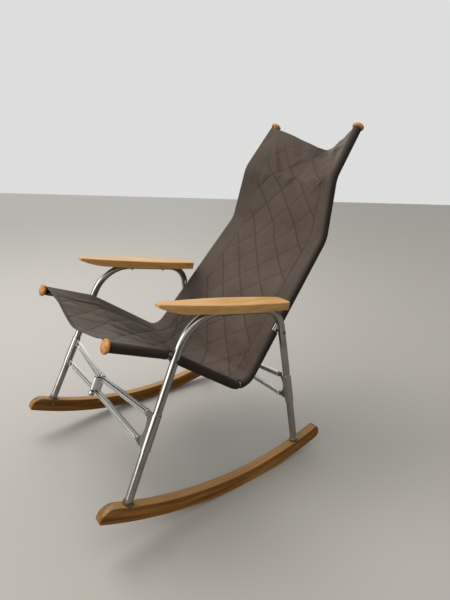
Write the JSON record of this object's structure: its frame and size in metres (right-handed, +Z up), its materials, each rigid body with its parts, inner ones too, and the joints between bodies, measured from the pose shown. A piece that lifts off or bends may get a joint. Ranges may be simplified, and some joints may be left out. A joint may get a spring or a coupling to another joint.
{
  "type": "folding rocking chair",
  "caption": "Folding rocking chair: chrome tube frames on wooden rockers, wooden armrests and a quilted brown sling seat, braced by hinged yokes that fold inward.",
  "frame": {"origin": "centre of the overall box at floor level, under the middle of the chair", "axes": "+Z up, the chair faces -Y, +X is the left side of someone sitting in it"},
  "size_m": [0.567, 0.917, 0.9538],
  "materials": {
    "tube_chrome": "polished chrome-plated steel tube",
    "link_chrome": "bright nickel-plated pressed steel",
    "rocker_wood": "reddish-brown stained hardwood, satin lacquer",
    "armrest_wood": "honey-brown hardwood, satin lacquer",
    "knob_wood": "orange-tan turned hardwood, satin lacquer",
    "sling_leather": "dark brown quilted leatherette, semi-matt",
    "hem_leather": "very dark brown leatherette hem, semi-matt"
  },
  "bodies": {
    "left_side": {"left_armrest": "armrest_wood", "left_armrest_screws": "tube_chrome", "left_back_hem": "hem_leather", "left_collar_screws": "tube_chrome", "left_foot_collars": "tube_chrome", "left_foot_pins": "tube_chrome", "left_frame_tube": "tube_chrome", "left_front_bracket": "link_chrome", "left_front_knob": "knob_wood", "left_front_pivot_pins": "tube_chrome", "left_rear_bracket": "link_chrome", "left_rear_pivot_pins": "tube_chrome", "left_rocker": "rocker_wood", "left_seat_hem": "hem_leather", "left_sling_bolts": "tube_chrome", "left_sling_nuts": "tube_chrome", "left_sling_spacers": "tube_chrome", "left_sling_tube": "tube_chrome", "left_top_knob": "knob_wood", "sling_panel": "sling_leather"},
    "front_left_arm": {"front_left_yoke": "link_chrome", "front_hinge_pin": "link_chrome"},
    "front_right_arm": {"front_right_yoke": "link_chrome", "front_hub_plate": "link_chrome"},
    "right_side": {"right_armrest": "armrest_wood", "right_armrest_screws": "tube_chrome", "right_back_hem": "hem_leather", "right_collar_screws": "tube_chrome", "right_foot_collars": "tube_chrome", "right_foot_pins": "tube_chrome", "right_frame_tube": "tube_chrome", "right_front_bracket": "link_chrome", "right_front_knob": "knob_wood", "right_front_pivot_pins": "tube_chrome", "right_rear_bracket": "link_chrome", "right_rear_pivot_pins": "tube_chrome", "right_rocker": "rocker_wood", "right_seat_hem": "hem_leather", "right_sling_bolts": "tube_chrome", "right_sling_nuts": "tube_chrome", "right_sling_spacers": "tube_chrome", "right_sling_tube": "tube_chrome", "right_top_knob": "knob_wood"},
    "rear_left_arm": {"rear_left_yoke": "link_chrome", "rear_hinge_pin": "link_chrome"},
    "rear_right_arm": {"rear_right_yoke": "link_chrome", "rear_hub_plate": "link_chrome"}
  },
  "joints": [
    {"name": "fold", "type": "hinge", "parent": "left_side", "child": "front_left_arm", "pos_m": [0.225, -0.32093, 0.26907], "axis": [0, -0.4131, -0.9107], "range_deg": [0, 77], "deforming": ["sling_panel"]},
    {"name": "front_hub", "type": "hinge", "parent": "front_left_arm", "child": "front_right_arm", "pos_m": [0, -0.3437, 0.2794], "axis": [0, 0.4131, 0.9107], "range_deg": [0, 154]},
    {"name": "front_right_pivot", "type": "hinge", "parent": "front_right_arm", "child": "right_side", "pos_m": [-0.225, -0.32093, 0.26907], "axis": [0, -0.4131, -0.9107], "range_deg": [0, 77]},
    {"name": "rear_left_pivot", "type": "hinge", "parent": "left_side", "child": "rear_left_arm", "pos_m": [0.225, 0.11802, 0.23718], "axis": [0, 0.1633, -0.9866], "range_deg": [0, 77]},
    {"name": "rear_hub", "type": "hinge", "parent": "rear_left_arm", "child": "rear_right_arm", "pos_m": [0, 0.09335, 0.2331], "axis": [0, -0.1633, 0.9866], "range_deg": [0, 154]}
  ],
  "couplings": [
    {"joint": "front_hub", "follows": "fold", "ratio": 2},
    {"joint": "front_right_pivot", "follows": "fold", "ratio": 1},
    {"joint": "rear_left_pivot", "follows": "fold", "ratio": 1},
    {"joint": "rear_hub", "follows": "fold", "ratio": 2}
  ]
}
